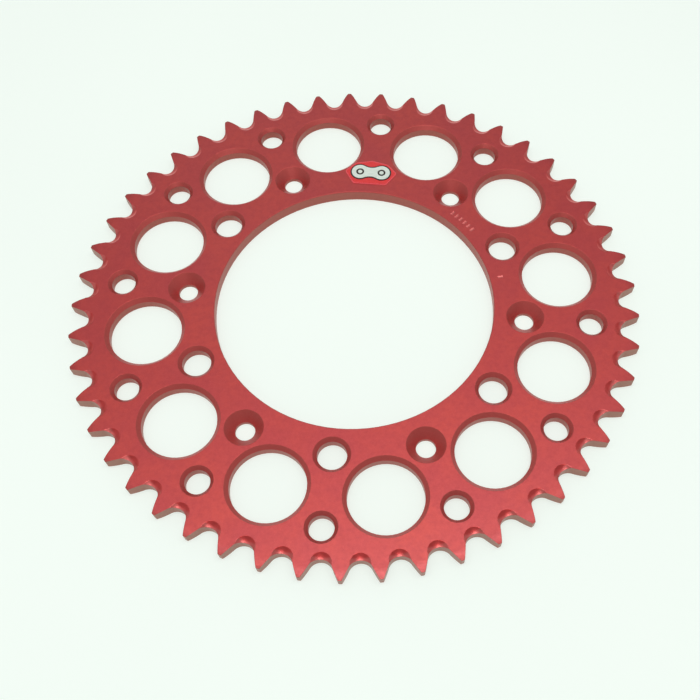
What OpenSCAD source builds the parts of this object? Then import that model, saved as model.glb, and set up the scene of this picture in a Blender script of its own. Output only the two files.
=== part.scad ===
// Rear sprocket for an off-road motorcycle: one machined aluminium plate that
// bolts to the wheel hub, with a small layered decal on its outer face.
// Millimetres. The origin is the centre of the hub bore on the hub-side face,
// and +Z points away from the wheel, towards the countersunk outer face.
// The first large hole is on +X, and angles run anticlockwise from it.

/* [Chain] */
// Number of teeth
teeth = 49; // [48:1:54]
// Distance between two chain rollers
chain_pitch = 15.875; // [15.8:0.025:15.95]
// Diameter of a chain roller
roller_d = 10.16; // [10.1:0.02:10.3]

/* [Teeth] */
// Angle of the first tooth from the first large hole
first_tooth = 2.45; // [0:0.05:7.5]
// Arc of the roller seat at the bottom of a tooth gap
seat_angle = 128; // [125:1:138]
// How far the tooth tips stand out past the pitch circle
tip_height = 3.1; // [1.5:0.1:3.2]
// Rounding of the two corners of a tooth tip
tip_round = 0.3; // [0.2:0.1:0.5]
// Width of the rounded relief on the side faces of the teeth
relief_w = 4.3; // [1.5:0.1:4.5]
// Radius of the rounded relief
relief_r = 16; // [15:0.5:24]

/* [Mud grooves] */
// Radius of the ball that shapes the groove at each tooth gap
groove_ball_r = 7; // [5:0.1:9]
// Half of a groove's width on the outer face
groove_half_w = 4.3; // [3.6:0.1:4.5]
// How far a groove reaches inwards past the bottom of its tooth gap
groove_reach = 2.8; // [2:0.1:3.2]

/* [Plate] */
// Thickness of the plate
plate_t = 5.8; // [5:0.1:8]
// Diameter of the hub bore
bore_d = 125.2; // [100:0.1:126]
// Chamfer of the hub bore on both faces
bore_chamfer = 0.3; // [0.1:0.1:0.8]
// Chamfer of the lightening holes on the hub side
back_chamfer = 0.4; // [0.1:0.1:0.8]

/* [Bolt holes] */
// Number of hub bolts
bolt_count = 6; // [3, 6]
// Diameter of the bolt circle
bolt_circle_d = 153; // [148:0.5:156]
// Diameter of a bolt hole
bolt_hole_d = 8.5; // [6.5:0.1:9]
// Diameter of the countersink on the outer face
countersink_d = 16.8; // [14:0.1:18]

/* [Lightening holes] */
// Number of large holes, and of rim holes between them
large_count = 12; // [6, 12]
// Diameter of a large hole
large_hole_d = 32; // [24:0.5:33]
// Distance of the large holes' centres from the bottom of the tooth gaps
large_hole_inset = 25.3; // [24:0.1:28]
// Chamfer of a large hole on the outer face
large_hole_chamfer = 1.75; // [0.5:0.05:2]
// Diameter of a rim hole, between two large holes and close to the teeth
rim_hole_d = 10.6; // [6:0.1:11]
// Distance of the rim holes' centres from the bottom of the tooth gaps
rim_hole_inset = 12.8; // [11:0.1:16]
// Chamfer of a rim hole on the outer face
rim_hole_chamfer = 1.6; // [0.5:0.05:2]
// Diameter of a hub hole, between two bolt holes
hub_hole_d = 12.6; // [6:0.1:13]
// Diameter of the circle through the hub holes
hub_hole_circle_d = 149; // [146:0.5:154]
// Chamfer of a hub hole on the outer face
hub_hole_chamfer = 1.7; // [0.5:0.05:2]

/* [Stamped ticks] */
// Number of plain ticks stamped beside the bore
tick_count = 6; // [0:1:7]
// Length of a tick
tick_l = 2.4; // [1:0.1:3.5]
// Width of a tick
tick_w = 1.2; // [0.6:0.1:1.5]
// Depth of a tick
tick_depth = 0.25; // [0.1:0.05:0.4]

/* [Decal] */
// Length of the decal
decal_l = 24.5; // [22:0.5:26]
// Width of the decal
decal_w = 14.4; // [13:0.2:15]
// Thickness of the decal's film
film_t = 0.2; // [0.1:0.05:0.3]
// Thickness of the dark keyline and of the foil emblem above it
foil_t = 0.1; // [0.05:0.05:0.2]
// How far the dark keyline stands out around the emblem
keyline_w = 0.6; // [0.2:0.1:0.8]

/* [Hidden] */
$fn = 96;

// How far a cutting shape runs past the face that it opens
over = 1;

// Roller chain tooth form: a round seat under each roller, then two large
// arcs that are tangent to the seat and lean out to the tips.
tooth_step = 360 / teeth;
pitch_r = chain_pitch / (2 * sin(tooth_step / 2));
seat_r = 0.505 * roller_d;
flank_r = 0.12 * roller_d * (teeth + 2);
root_r = pitch_r - seat_r;
tip_r = pitch_r + tip_height;
seat_half_angle = seat_angle / 2;
seat_edge = [-cos(seat_half_angle), sin(seat_half_angle)];
flank_centre = [pitch_r, 0] + (seat_r + flank_r) * seat_edge;

// The tip rounding touches the flank arc and the tip circle from inside.
round_centre_r = tip_r - tip_round;
flank_centre_angle = atan2(flank_centre.y, flank_centre.x);
tip_angle = flank_centre_angle
    - corner_angle(norm(flank_centre), round_centre_r, flank_r - tip_round);
round_centre = round_centre_r * [cos(tip_angle), sin(tip_angle)];
flank_end_angle = atan2(round_centre.y - flank_centre.y,
                        round_centre.x - flank_centre.x);

// The outline enters the seat circle a little inside it, for a clean cut.
seat_entry_depth = 0.05;
flank_steps = 5;
round_steps = 4;
relief_steps = 5;

// Mud grooves: a ball dips into the outer face and meets it along a circle.
groove_r = root_r - groove_reach + groove_half_w;
groove_ball_z = plate_t + sqrt(groove_ball_r ^ 2 - groove_half_w ^ 2);

// Hole patterns
large_hole_r = root_r - large_hole_inset;
rim_hole_r = root_r - rim_hole_inset;
large_step = 360 / large_count;
site_count = 6;
site_step = 360 / site_count;
first_hub_hole = 15;
first_bolt = 45;
decal_site = 1;
// The decal sits this many degrees off the middle of its site
decal_offset = 0.95;
decal_angle = first_hub_hole + decal_site * site_step + decal_offset;

// Stamped ticks
tick_r = 67.5;
first_tick = 27.4;
tick_step = 2.2;
lone_tick = 2.4;

// Decal, in a frame with X along the rim and Y pointing away from the bore
decal_r = 74.7;
decal_round = 1.5;
film_half_l = decal_l / 2 - decal_round;
film_half_w = decal_w / 2 - decal_round;
film_corners = [
    [film_half_l, 0],
    [0.66 * film_half_l, 0.7 * film_half_w],
    [0, film_half_w],
    [-0.66 * film_half_l, 0.7 * film_half_w],
    [-film_half_l, 0],
    [-0.66 * film_half_l, -film_half_w],
    [0.66 * film_half_l, -film_half_w],
];

// The emblem is a plain chain link plate: two lobes and a waist between them.
lobe_x = 5.2;
lobe_r = 4.1;
lobe_hole_r = 1.9;
lobe_pin_r = 1.1;
waist_half_w = 2.7;
waist_r = (lobe_x ^ 2 + waist_half_w ^ 2 - lobe_r ^ 2) / (2 * (lobe_r - waist_half_w));
waist_y = waist_half_w + waist_r;
waist_angle = atan2(waist_y, lobe_x);

// Angle between sides a and b of a triangle whose third side is c
function corner_angle(a, b, c) = acos((a ^ 2 + b ^ 2 - c ^ 2) / (2 * a * b));

// Points along an arc, from angle a0 to angle a1 in the given number of steps
function arc(centre, r, a0, a1, steps) = [
    for (i = [0:steps])
        let (a = a0 + (a1 - a0) * i / steps)
        centre + r * [cos(a), sin(a)]
];

function turned(points, a) = [
    for (p = points) [p.x * cos(a) - p.y * sin(a), p.x * sin(a) + p.y * cos(a)]
];

function mirrored(points) = [
    for (i = [len(points) - 1:-1:0]) [points[i].x, -points[i].y]
];

// All but the first of the points
function after_first(points) = [for (i = [1:len(points) - 1]) points[i]];

// One side of a tooth, from the seat out to the tip. The gap lies on +X.
function tooth_side() = concat(
    [[pitch_r, 0] + (seat_r - seat_entry_depth) * seat_edge],
    after_first(arc(flank_centre, flank_r, -seat_half_angle, flank_end_angle, flank_steps)),
    after_first(arc(round_centre, tip_round, flank_end_angle, tip_angle, round_steps))
);

// The toothed rim, with straight floors where the roller seats are cut later
function toothed_outline() = [
    for (k = [0:teeth - 1])
        let (gap = first_tooth + (k - 0.5) * tooth_step)
        for (p = concat(turned(tooth_side(), gap),
                        turned(mirrored(tooth_side()), gap + tooth_step)))
            p
];

function edge_angle(a, b) = atan2(a.x - b.x, b.y - a.y);

// A convex outline with its corners rounded about the given centres
function rounded_outline(corners, r) = [
    for (i = [0:len(corners) - 1])
        let (
            n = len(corners),
            before = edge_angle(corners[(i + n - 1) % n], corners[i]),
            after = edge_angle(corners[i], corners[(i + 1) % n]),
            turn = (after - before + 720) % 360
        )
        for (p = arc(corners[i], r, before, before + turn, 6)) p
];

// The outline of the chain link emblem, grown by the given amount
function link_outline(grow) = concat(
    arc([lobe_x, 0], lobe_r + grow, waist_angle - 180, 180 - waist_angle, 24),
    after_first(arc([0, waist_y], waist_r - grow, -waist_angle, waist_angle - 180, 8)),
    after_first(arc([-lobe_x, 0], lobe_r + grow, waist_angle, 360 - waist_angle, 24)),
    after_first(arc([0, -waist_y], waist_r - grow, 180 - waist_angle, waist_angle, 8))
);

// Places its children on a circle, once for each of the given angles
module at_angles(angles, r) {
    for (a = angles)
        rotate([0, 0, a])
            translate([r, 0, 0])
                children();
}

// A hole through the plate with a 45 degree chamfer on each face
module chamfered_hole(d, front, back) {
    translate([0, 0, -over])
        cylinder(d = d, h = plate_t + 2 * over);
    translate([0, 0, plate_t - front])
        cylinder(r1 = d / 2, r2 = d / 2 + front + over, h = front + over);
    translate([0, 0, -over])
        cylinder(r1 = d / 2 + back + over, r2 = d / 2, h = back + over);
}

// A bolt hole, countersunk from the outer face and sharp on the hub side
module bolt_hole() {
    sink = (countersink_d - bolt_hole_d) / 2;
    translate([0, 0, -over])
        cylinder(d = bolt_hole_d, h = plate_t + 2 * over);
    translate([0, 0, plate_t - sink])
        cylinder(r1 = bolt_hole_d / 2, r2 = countersink_d / 2 + over, h = sink + over);
}

// Ring that rounds off the side faces of the teeth, standing on z = 0. Its
// section starts flush with the face and falls away along an arc.
module side_relief() {
    start_r = tip_r - relief_w;
    end_angle = 90 - asin((relief_w + over) / relief_r);
    rotate_extrude()
        polygon(concat(
            arc([start_r, -relief_r], relief_r, 90, end_angle, relief_steps),
            [[tip_r + over, over], [start_r, over]]
        ));
}

// A shallow V-shaped tick with its length along the radius, on the outer face
module tick() {
    flare = (tick_depth + over) / tick_depth;
    translate([-tick_l / 2, 0, plate_t - tick_depth])
        rotate([90, 0, 90])
            linear_extrude(tick_l)
                polygon([
                    [0, 0],
                    [flare * tick_w / 2, tick_depth + over],
                    [-flare * tick_w / 2, tick_depth + over],
                ]);
}

// Puts its children on the outer face, at the hub hole site left for the decal
module on_decal_site() {
    rotate([0, 0, decal_angle - 90])
        translate([0, decal_r, plate_t])
            children();
}

module sprocket_plate() {
    gaps = [for (k = [0:teeth - 1]) first_tooth + (k + 0.5) * tooth_step];
    between_large = [for (k = [0:large_count - 1]) (k + 0.5) * large_step];
    hub_holes = [
        for (k = [0:site_count - 1])
            if (k != decal_site) first_hub_hole + k * site_step
    ];
    color("firebrick")
        difference() {
            linear_extrude(plate_t)
                polygon(toothed_outline());
            at_angles(gaps, pitch_r)
                translate([0, 0, -over])
                    cylinder(r = seat_r, h = plate_t + 2 * over);
            at_angles(gaps, groove_r)
                translate([0, 0, groove_ball_z])
                    sphere(r = groove_ball_r);
            translate([0, 0, plate_t])
                side_relief();
            mirror([0, 0, 1])
                side_relief();
            chamfered_hole(bore_d, bore_chamfer, bore_chamfer);
            at_angles([for (k = [0:bolt_count - 1]) first_bolt + k * 360 / bolt_count], bolt_circle_d / 2)
                bolt_hole();
            at_angles([for (k = [0:large_count - 1]) k * large_step], large_hole_r)
                chamfered_hole(large_hole_d, large_hole_chamfer, back_chamfer);
            at_angles(between_large, rim_hole_r)
                chamfered_hole(rim_hole_d, rim_hole_chamfer, back_chamfer);
            at_angles(hub_holes, hub_hole_circle_d / 2)
                chamfered_hole(hub_hole_d, hub_hole_chamfer, back_chamfer);
            at_angles([for (k = [0:1:tick_count - 1]) first_tick + k * tick_step], tick_r)
                tick();
            at_angles([lone_tick], tick_r)
                tick();
        }
}

// Red film of the decal, stuck to the outer face
module decal_film() {
    color("crimson")
        on_decal_site()
            linear_extrude(film_t)
                polygon(rounded_outline(film_corners, decal_round));
}

// Dark layer that shows as a thin line around the emblem
module decal_keyline() {
    color("dimgray")
        on_decal_site()
            translate([0, 0, film_t])
                linear_extrude(foil_t)
                    polygon(link_outline(keyline_w));
}

// Silver foil emblem: a plain chain link with its two pins
module decal_emblem() {
    color("gainsboro")
        on_decal_site()
            translate([0, 0, film_t + foil_t]) {
                difference() {
                    linear_extrude(foil_t)
                        polygon(link_outline(0));
                    for (side = [-1, 1])
                        translate([side * lobe_x, 0, -over])
                            cylinder(r = lobe_hole_r, h = foil_t + 2 * over);
                }
                for (side = [-1, 1])
                    translate([side * lobe_x, 0, 0])
                        cylinder(r = lobe_pin_r, h = foil_t);
            }
}

sprocket_plate();
decal_film();
decal_keyline();
decal_emblem();
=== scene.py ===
"""Looks of the rear sprocket: red satin anodised plate and its layered decal, on a pale floor."""

import math

import bpy
from mathutils import Matrix, Vector

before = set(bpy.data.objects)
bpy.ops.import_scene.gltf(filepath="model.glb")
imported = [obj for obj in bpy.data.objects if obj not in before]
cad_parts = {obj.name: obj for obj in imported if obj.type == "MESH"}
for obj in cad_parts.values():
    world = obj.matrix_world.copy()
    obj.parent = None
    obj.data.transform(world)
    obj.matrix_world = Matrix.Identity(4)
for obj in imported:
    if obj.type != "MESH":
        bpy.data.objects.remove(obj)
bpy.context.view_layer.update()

MM = 0.001

# Edges blunter than this are shaded smooth
SMOOTH_ANGLE = math.radians(20)

# Camera
CAMERA_PLACE = Vector((-0.014798, -0.216600, 0.337555))
CAMERA_AZIMUTH = math.radians(-8.38)
CAMERA_ELEVATION = math.radians(63.76)
CAMERA_ROLL = math.radians(-0.67)
CAMERA_LENS = 45.11
CAMERA_SENSOR = 36
CAMERA_SHIFT = (-0.0618, 0.0819)

# Radii on the plate: the mud grooves with their lips, where a highlight is painted, and the
# stamped ticks
GROOVE_START = 115.85 * MM
GROOVE_END = 120.6 * MM
LIP_START = 117.6 * MM
LIP_END = 118.5 * MM
STAMP_END = 69.5 * MM
RIM_FADE = 0.1 * MM
END_FADE = 1 * MM

# Levelness is 1 on the face, 0.71 on 45 degree chamfers and 0 on walls. Each
# pair is the span of it over which one tone of painted light and shade gives way to the next; in
# the grooves the finish also turns smoother.
WALL_LEVEL = (0.25, 0.60)
GROOVE_LEVEL = (0.58, 0.66)
STAMP_LEVEL = (0.86, 0.90)
FACE_LEVEL = (0.97, 0.985)

# Grain sizes on the plate
BLOTCH_GRAIN = 28 * MM
PATCH_GRAIN = 2.6 * MM
RUB_AND_GLINT_GRAIN = 1.7 * MM
SATIN_GRAIN = 1.1 * MM
BLAST_GRAIN = 0.32 * MM
BLAST_DEPTH = 0.03 * MM

# Soft edges on the plate, and how strongly they are rubbed, which also paints a highlight along
# them
EDGE_RADIUS = 0.30 * MM
RUB_AND_GLINT_RADIUS = 0.35 * MM
RUB_AND_GLINT_STRENGTH = 0.35

# Roughness of the plate, and how much smoother its grooves are
SATIN_ROUGHNESS = (0.50, 0.62)
GROOVE_POLISH = 0.20

# Colours of the plate. The dye varies at random; the tones of the cuts are painted light and
# shade, and the worn red also paints a highlight along the edges
DYE_COOL = (0.60, 0.076, 0.080, 1)
DYE_WARM = (0.66, 0.086, 0.076, 1)
DYE_DARK = (0.52, 0.060, 0.070, 1)
DYE_FLECK = (0.72, 0.135, 0.130, 1)
# Painted shading: sloped cuts such as chamfers get their own tone, set to how they look lit
CHAMFER_PAINTED_SHADING = (0.56, 0.088, 0.080, 1)
# Painted light in the grooves, and a painted highlight on the outer lip of each groove
GROOVE_PAINTED_LIGHT = (0.73, 0.060, 0.058, 1)
LIP_PAINTED_HIGHLIGHT = (0.76, 0.140, 0.132, 1)
# Painted glint on the stamped ticks
STAMP_PAINTED_GLINT = (0.80, 0.190, 0.180, 1)
# Painted shade and reflected floor light on the walls, darker and browner than the face
HOLE_WALL_PAINTED_SHADE = (0.39, 0.092, 0.069, 1)
TOOTH_WALL_PAINTED_SHADE = (0.36, 0.146, 0.100, 1)
# Wear on the edges, which also stands in for a painted highlight along them
WORN_AND_GLINT_RED = (0.74, 0.22, 0.20, 1)

# Colours of the decal
FILM_RED = (0.78, 0.022, 0.026, 1)
FILM_BRIGHT_RED = (0.88, 0.036, 0.038, 1)
FILM_RIM = (0.94, 0.13, 0.17, 1)
INK_DARK = (0.018, 0.012, 0.010, 1)
INK_BROWN = (0.050, 0.028, 0.022, 1)
FOIL_GREY = (0.74, 0.83, 0.74, 1)
FOIL_PALE = (0.90, 0.97, 0.90, 1)
FOIL_EDGE = (0.34, 0.38, 0.33, 1)

# Studio
FLOOR_HALF = 4.0
FLOOR_DROP = 0.02 * MM
FLOOR_TINT = (0.86, 0.93, 0.875, 1)
FLOOR_TINT_DEEP = tuple(0.985 * v for v in FLOOR_TINT[:3]) + (1,)
FLOOR_GRAIN = 220 * MM
FLOOR_GREY = 0.5
FLOOR_GLOW = 0.65
SKY_TONE = (0.327, 0.340, 0.330, 1)
HORIZON_TONE = (0.714, 0.772, 0.726, 1)
HORIZON_TOP = 0.16
SKY_START = 0.36
LIGHTS = [
    # name, place, size, watts
    ("zenith_light", (0.0, -0.05, 1.05), 0.35, 1.75),
    ("low_front_light", (-0.02, -0.50, 0.90), 0.35, 0.25),
    ("front_light", (-0.02, -0.32, 0.98), 0.35, 1.2),
    ("left_top_light", (-0.35, 0.0, 1.0), 0.35, 0.67),
    ("right_top_light", (0.35, 0.0, 1.0), 0.35, 1.03),
    ("far_light", (0.0, 0.80, 0.85), 0.60, 0.4),
    ("left_light", (-0.80, 0.0, 0.75), 0.60, 0.27),
    ("right_light", (0.80, 0.0, 0.75), 0.60, 0.26),
]

# Colour sockets of a Mix node
MIX_FIRST = 6
MIX_SECOND = 7
MIX_RESULT = 2


# ---------------------------------------------------------------- node helpers

class Shader:
    """A new material's node tree, with short calls for the nodes used here."""

    def __init__(self, name):
        self.material = bpy.data.materials.new(name)
        self.material.use_nodes = True
        self.nodes = self.material.node_tree.nodes
        self.links = self.material.node_tree.links
        self.surface = self.nodes["Principled BSDF"]
        self.place = self.nodes.new("ShaderNodeTexCoord")

    def set(self, **values):
        for key, value in values.items():
            self.surface.inputs[key.replace("_", " ")].default_value = value

    def link(self, source, target):
        self.links.new(source, target)

    def noise(self, grain, detail=3.0, roughness=0.55, stretch=None):
        """Noise whose features are about `grain` metres across."""
        node = self.nodes.new("ShaderNodeTexNoise")
        node.inputs["Scale"].default_value = 1 / grain
        node.inputs["Detail"].default_value = detail
        node.inputs["Roughness"].default_value = roughness
        source = self.place.outputs["Object"]
        if stretch:
            mapping = self.nodes.new("ShaderNodeMapping")
            mapping.inputs["Scale"].default_value = stretch
            self.link(source, mapping.inputs["Vector"])
            source = mapping.outputs["Vector"]
        self.link(source, node.inputs["Vector"])
        return node.outputs["Fac"]

    def ramp(self, source, low, high, to_low=0.0, to_high=1.0):
        """source, from low..high to to_low..to_high, clamped."""
        node = self.nodes.new("ShaderNodeMapRange")
        node.inputs["From Min"].default_value = low
        node.inputs["From Max"].default_value = high
        node.inputs["To Min"].default_value = to_low
        node.inputs["To Max"].default_value = to_high
        self.link(source, node.inputs["Value"])
        return node.outputs["Result"]

    def math(self, operation, a, b=None):
        node = self.nodes.new("ShaderNodeMath")
        node.operation = operation
        for value, socket in ((a, node.inputs[0]), (b, node.inputs[1])):
            if value is None:
                continue
            if isinstance(value, (int, float)):
                socket.default_value = value
            else:
                self.link(value, socket)
        return node.outputs["Value"]

    def blend(self, share, first, second):
        """A colour between first and second, each a colour or a socket."""
        node = self.nodes.new("ShaderNodeMix")
        node.data_type = "RGBA"
        self.link(share, node.inputs["Factor"])
        for value, socket in ((first, node.inputs[MIX_FIRST]), (second, node.inputs[MIX_SECOND])):
            if isinstance(value, tuple):
                socket.default_value = value
            else:
                self.link(value, socket)
        return node.outputs[MIX_RESULT]

    def soft_normal(self, radius):
        """Normals as if each sharp edge were rounded off to this radius."""
        node = self.nodes.new("ShaderNodeBevel")
        node.samples = 6
        node.inputs["Radius"].default_value = radius
        return node.outputs["Normal"]

    def edge_mask(self, radius, low, high):
        """1 along sharp edges and 0 away from them."""
        true_normal = self.nodes.new("ShaderNodeNewGeometry").outputs["Normal"]
        dot = self.nodes.new("ShaderNodeVectorMath")
        dot.operation = "DOT_PRODUCT"
        self.link(self.soft_normal(radius), dot.inputs[0])
        self.link(true_normal, dot.inputs[1])
        return self.ramp(self.math("SUBTRACT", 1.0, dot.outputs["Value"]), low, high)

    def levelness(self):
        """How level the surface is, from 0 on walls to 1 on the faces."""
        split = self.nodes.new("ShaderNodeSeparateXYZ")
        self.link(self.place.outputs["Normal"], split.inputs["Vector"])
        return self.math("ABSOLUTE", split.outputs["Z"])

    def radius(self):
        """Distance from the plate's axis."""
        level = self.nodes.new("ShaderNodeVectorMath")
        level.operation = "MULTIPLY"
        level.inputs[1].default_value = (1, 1, 0)
        self.link(self.place.outputs["Object"], level.inputs[0])
        length = self.nodes.new("ShaderNodeVectorMath")
        length.operation = "LENGTH"
        self.link(level.outputs["Vector"], length.inputs[0])
        return length.outputs["Value"]

    def product(self, *masks):
        """1 where all the masks are 1."""
        result = masks[0]
        for mask in masks[1:]:
            result = self.math("MULTIPLY", result, mask)
        return result

    def bump(self, height, distance, strength, normal=None):
        node = self.nodes.new("ShaderNodeBump")
        node.inputs["Distance"].default_value = distance
        node.inputs["Strength"].default_value = strength
        self.link(height, node.inputs["Height"])
        if normal is not None:
            self.link(normal, node.inputs["Normal"])
        return node.outputs["Normal"]


# ---------------------------------------------------------------- materials

def plate_masks(s):
    """Where the plate carries each kind of cut."""
    level = s.levelness()
    radius = s.radius()
    tilted = s.ramp(level, *FACE_LEVEL, 1.0, 0.0)
    in_rim = s.ramp(radius, GROOVE_START - RIM_FADE, GROOVE_START + RIM_FADE)
    before_tips = s.ramp(radius, GROOVE_END, GROOVE_END + END_FADE, 1.0, 0.0)
    by_bore = s.ramp(radius, STAMP_END, STAMP_END + END_FADE, 1.0, 0.0)
    return {
        "tilted": tilted,
        "in_rim": in_rim,
        "groove": s.product(tilted, s.ramp(level, *GROOVE_LEVEL), in_rim, before_tips),
        "lip_highlight": s.ramp(radius, LIP_START, LIP_END),
        "stamp_glint": s.product(tilted, s.ramp(level, *STAMP_LEVEL), by_bore),
        "wall_shade": s.ramp(level, *WALL_LEVEL, 1.0, 0.0),
    }


def face_dye(s, blasted):
    """Red dye with blotches at two sizes and pale flecks from the blasting."""
    dye = s.blend(s.ramp(s.noise(BLOTCH_GRAIN, detail=2.0), 0.35, 0.65), DYE_COOL, DYE_WARM)
    patches = s.ramp(s.noise(PATCH_GRAIN, detail=4.0), 0.40, 0.72, 0.0, 0.5)
    patchy = s.blend(patches, dye, DYE_DARK)
    return s.blend(s.ramp(blasted, 0.55, 0.80, 0.0, 0.55), patchy, DYE_FLECK)


def cut_tones_with_painted_light(s, mask, face):
    """The face's colour, with painted light and shade in another tone for each kind of cut:
    shading on sloped cuts, light and a lip highlight in the grooves, a glint on the stamps and
    shade on the walls.
    """
    # Painted shading on the sloped cuts
    chamfer_shaded = s.blend(mask["tilted"], face, CHAMFER_PAINTED_SHADING)
    # Painted light in the grooves and a painted highlight on their lips
    groove_lit = s.blend(mask["groove"], chamfer_shaded, s.blend(mask["lip_highlight"], GROOVE_PAINTED_LIGHT, LIP_PAINTED_HIGHLIGHT))
    # Painted glint on the stamped ticks
    stamp_glinted = s.blend(mask["stamp_glint"], groove_lit, STAMP_PAINTED_GLINT)
    # Painted shade and floor reflection on the walls
    wall_shade_tone = s.blend(mask["in_rim"], HOLE_WALL_PAINTED_SHADE, TOOTH_WALL_PAINTED_SHADE)
    return s.blend(mask["wall_shade"], stamp_glinted, wall_shade_tone)


def anodised_aluminium():
    """Red dye under a clear sealed skin, over bead-blasted metal."""
    s = Shader("satin_red_anodising")
    s.set(Metallic=1.0, IOR=1.5)
    s.set(Coat_Weight=0.50, Coat_Roughness=0.32, Coat_IOR=1.6)
    blasted = s.noise(BLAST_GRAIN, detail=2.0)
    mask = plate_masks(s)
    painted_tones = cut_tones_with_painted_light(s, mask, face_dye(s, blasted))
    # Paler red along the edges: real wear, and a painted highlight on the edges
    edges = s.edge_mask(RUB_AND_GLINT_RADIUS, 0.02, 0.25)
    rub_and_glint = s.product(edges, s.ramp(s.noise(RUB_AND_GLINT_GRAIN), 0.40, 0.62))
    worn_and_glint = s.blend(s.math("MULTIPLY", rub_and_glint, RUB_AND_GLINT_STRENGTH), painted_tones, WORN_AND_GLINT_RED)
    s.link(worn_and_glint, s.surface.inputs["Base Color"])
    satin = s.ramp(s.noise(SATIN_GRAIN, detail=5.0), 0.3, 0.7, *SATIN_ROUGHNESS)
    polish = s.math("MULTIPLY", mask["groove"], GROOVE_POLISH)
    s.link(s.math("SUBTRACT", satin, polish), s.surface.inputs["Roughness"])
    grain = s.bump(blasted, BLAST_DEPTH, 0.35, s.soft_normal(EDGE_RADIUS))
    s.link(grain, s.surface.inputs["Normal"])
    return s.material


def red_film():
    """Glossy printed film, paler where its cut edge catches the light."""
    s = Shader("red_film")
    s.set(Metallic=0.0, IOR=1.5, Coat_Weight=0.3, Coat_Roughness=0.25)
    mottle = s.ramp(s.noise(1.4 * MM, detail=3.0), 0.35, 0.70)
    ink = s.blend(mottle, FILM_RED, FILM_BRIGHT_RED)
    rim = s.blend(s.edge_mask(0.9 * MM, 0.003, 0.08), ink, FILM_RIM)
    s.link(rim, s.surface.inputs["Base Color"])
    s.link(s.ramp(s.noise(0.6 * MM), 0.3, 0.7, 0.30, 0.42), s.surface.inputs["Roughness"])
    s.link(s.bump(s.noise(2.2 * MM), 0.02 * MM, 0.3), s.surface.inputs["Normal"])
    return s.material


def dark_keyline():
    """Matt dark ink layer."""
    s = Shader("dark_ink")
    s.set(Metallic=0.0, IOR=1.45)
    mottle = s.ramp(s.noise(0.5 * MM, detail=3.0), 0.35, 0.70)
    ink = s.blend(mottle, INK_DARK, INK_BROWN)
    s.link(ink, s.surface.inputs["Base Color"])
    s.link(s.ramp(s.noise(0.4 * MM), 0.3, 0.7, 0.45, 0.60), s.surface.inputs["Roughness"])
    s.link(s.bump(s.noise(0.3 * MM), 0.01 * MM, 0.3), s.surface.inputs["Normal"])
    return s.material


def silver_foil():
    """Brushed foil with fine streaks along the decal."""
    s = Shader("brushed_foil")
    s.set(Metallic=0.15, IOR=1.5, Coat_Weight=0.4, Coat_Roughness=0.2)
    streaks = s.noise(0.35 * MM, detail=3.0, stretch=(0.12, 1.0, 1.0))
    tone = s.blend(s.ramp(streaks, 0.30, 0.70), FOIL_GREY, FOIL_PALE)
    edge = s.blend(s.edge_mask(0.25 * MM, 0.01, 0.2), tone, FOIL_EDGE)
    s.link(edge, s.surface.inputs["Base Color"])
    s.link(s.ramp(streaks, 0.3, 0.7, 0.36, 0.50), s.surface.inputs["Roughness"])
    s.link(s.bump(streaks, 0.01 * MM, 0.4), s.surface.inputs["Normal"])
    return s.material


def pale_floor():
    """Pale matt floor that glows a little by itself."""
    s = Shader("pale_floor")
    s.set(Roughness=0.85, Specular_IOR_Level=0.1, Emission_Strength=FLOOR_GLOW)
    tint = s.blend(
        s.ramp(s.noise(FLOOR_GRAIN, detail=1.0), 0.3, 0.7),
        FLOOR_TINT,
        FLOOR_TINT_DEEP,
    )
    grey = s.nodes.new("ShaderNodeVectorMath")
    grey.operation = "SCALE"
    grey.inputs["Scale"].default_value = FLOOR_GREY
    s.link(tint, grey.inputs[0])
    s.link(grey.outputs["Vector"], s.surface.inputs["Base Color"])
    s.link(tint, s.surface.inputs["Emission Color"])
    return s.material


# ---------------------------------------------------------------- CAD nodes

def smooth_group():
    """Geometry nodes that shade a mesh smooth, apart from its sharp edges."""
    group = bpy.data.node_groups.new("smooth_by_angle", "GeometryNodeTree")
    group.interface.new_socket("Geometry", in_out="INPUT", socket_type="NodeSocketGeometry")
    group.interface.new_socket("Geometry", in_out="OUTPUT", socket_type="NodeSocketGeometry")
    nodes = group.nodes
    links = group.links
    start = nodes.new("NodeGroupInput")
    end = nodes.new("NodeGroupOutput")
    faces = nodes.new("GeometryNodeSetShadeSmooth")
    faces.domain = "FACE"
    edges = nodes.new("GeometryNodeSetShadeSmooth")
    edges.domain = "EDGE"
    angle = nodes.new("GeometryNodeInputMeshEdgeAngle")
    gentle = nodes.new("FunctionNodeCompare")
    gentle.data_type = "FLOAT"
    gentle.operation = "LESS_EQUAL"
    gentle.inputs["B"].default_value = SMOOTH_ANGLE
    links.new(angle.outputs["Unsigned Angle"], gentle.inputs["A"])
    links.new(start.outputs[0], faces.inputs["Geometry"])
    links.new(faces.outputs["Geometry"], edges.inputs["Geometry"])
    links.new(gentle.outputs["Result"], edges.inputs["Shade Smooth"])
    links.new(edges.outputs["Geometry"], end.inputs[0])
    return group


def shade_smooth(node, group):
    """Smooth shading in which large flat faces stay flat."""
    smooth = node.modifiers.new("smooth", "NODES")
    smooth.node_group = group
    weighted = node.modifiers.new("weighted", "WEIGHTED_NORMAL")
    weighted.mode = "FACE_AREA"
    weighted.weight = 50
    weighted.keep_sharp = True


def finish_node(name, material, group):
    """Give a CAD node its looks. Its mesh stays as it is."""
    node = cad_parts[name]
    node.data.materials.clear()
    node.data.materials.append(material)
    shade_smooth(node, group)


# ---------------------------------------------------------------- studio

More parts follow.
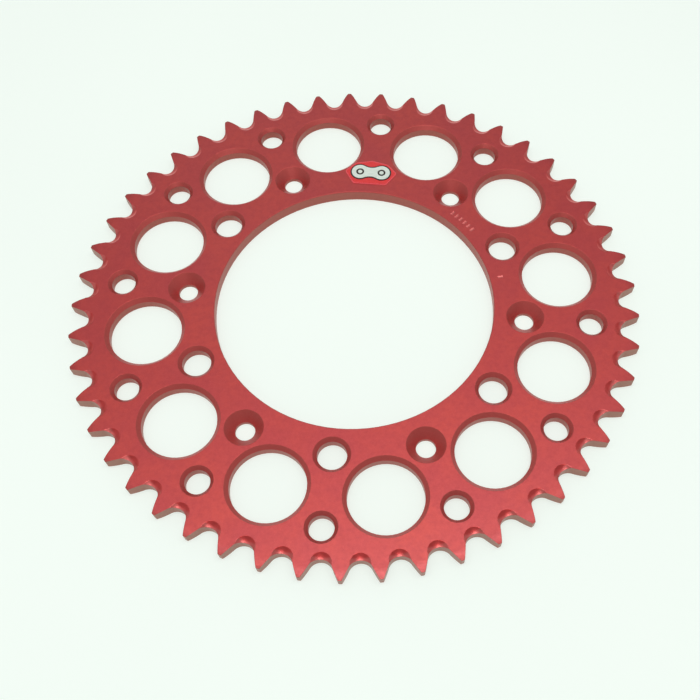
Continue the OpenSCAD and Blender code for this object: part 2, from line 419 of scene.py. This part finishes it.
def make_floor():
    mesh = bpy.data.meshes.new("floor")
    h = FLOOR_HALF
    z = -FLOOR_DROP
    mesh.from_pydata([(-h, -h, z), (h, -h, z), (h, h, z), (-h, h, z)], [], [(0, 1, 2, 3)])
    mesh.materials.append(pale_floor())
    floor = bpy.data.objects.new("floor", mesh)
    bpy.context.scene.collection.objects.link(floor)


def aimed(place, target):
    """Rotation that turns -Z from place towards target."""
    return (Vector(target) - Vector(place)).to_track_quat("-Z", "Y").to_euler()


def make_light(name, place, size, watts):
    light = bpy.data.lights.new(name, "AREA")
    light.size = size
    light.energy = watts
    lamp = bpy.data.objects.new(name, light)
    lamp.location = place
    lamp.rotation_euler = aimed(place, (0, 0, 0))
    bpy.context.scene.collection.objects.link(lamp)


def make_world():
    """Soft grey light from above, with the floor's own tone at the horizon."""
    world = bpy.data.worlds.new("studio")
    world.use_nodes = True
    nodes = world.node_tree.nodes
    links = world.node_tree.links
    direction = nodes.new("ShaderNodeTexCoord")
    split = nodes.new("ShaderNodeSeparateXYZ")
    height = nodes.new("ShaderNodeMapRange")
    height.interpolation_type = "SMOOTHSTEP"
    height.inputs["From Min"].default_value = HORIZON_TOP
    height.inputs["From Max"].default_value = SKY_START
    tone = nodes.new("ShaderNodeMix")
    tone.data_type = "RGBA"
    tone.inputs[MIX_FIRST].default_value = HORIZON_TONE
    tone.inputs[MIX_SECOND].default_value = SKY_TONE
    links.new(direction.outputs["Generated"], split.inputs["Vector"])
    links.new(split.outputs["Z"], height.inputs["Value"])
    links.new(height.outputs["Result"], tone.inputs["Factor"])
    links.new(tone.outputs[MIX_RESULT], nodes["Background"].inputs["Color"])
    bpy.context.scene.world = world


def camera_axes():
    """The camera's right, up and back directions."""
    level = math.cos(CAMERA_ELEVATION)
    back = Vector((
        math.sin(CAMERA_AZIMUTH) * level,
        -math.cos(CAMERA_AZIMUTH) * level,
        math.sin(CAMERA_ELEVATION),
    ))
    right = (-back).cross(Vector((0, 0, 1))).normalized()
    turn = Matrix.Rotation(CAMERA_ROLL, 3, back)
    right = turn @ right
    return right, back.cross(right), back


def make_camera():
    data = bpy.data.cameras.new("camera")
    data.sensor_width = CAMERA_SENSOR
    data.lens = CAMERA_LENS
    data.shift_x, data.shift_y = CAMERA_SHIFT
    camera = bpy.data.objects.new("camera", data)
    axes = Matrix(camera_axes()).transposed()
    camera.matrix_world = Matrix.Translation(CAMERA_PLACE) @ axes.to_4x4()
    bpy.context.scene.collection.objects.link(camera)
    bpy.context.scene.camera = camera


# ---------------------------------------------------------------- build

smooth = smooth_group()
finish_node("sprocket_plate", anodised_aluminium(), smooth)
finish_node("decal_film", red_film(), smooth)
finish_node("decal_keyline", dark_keyline(), smooth)
finish_node("decal_emblem", silver_foil(), smooth)

make_floor()
make_world()
for light in LIGHTS:
    make_light(*light)
make_camera()
bpy.context.scene.view_settings.view_transform = "Standard"
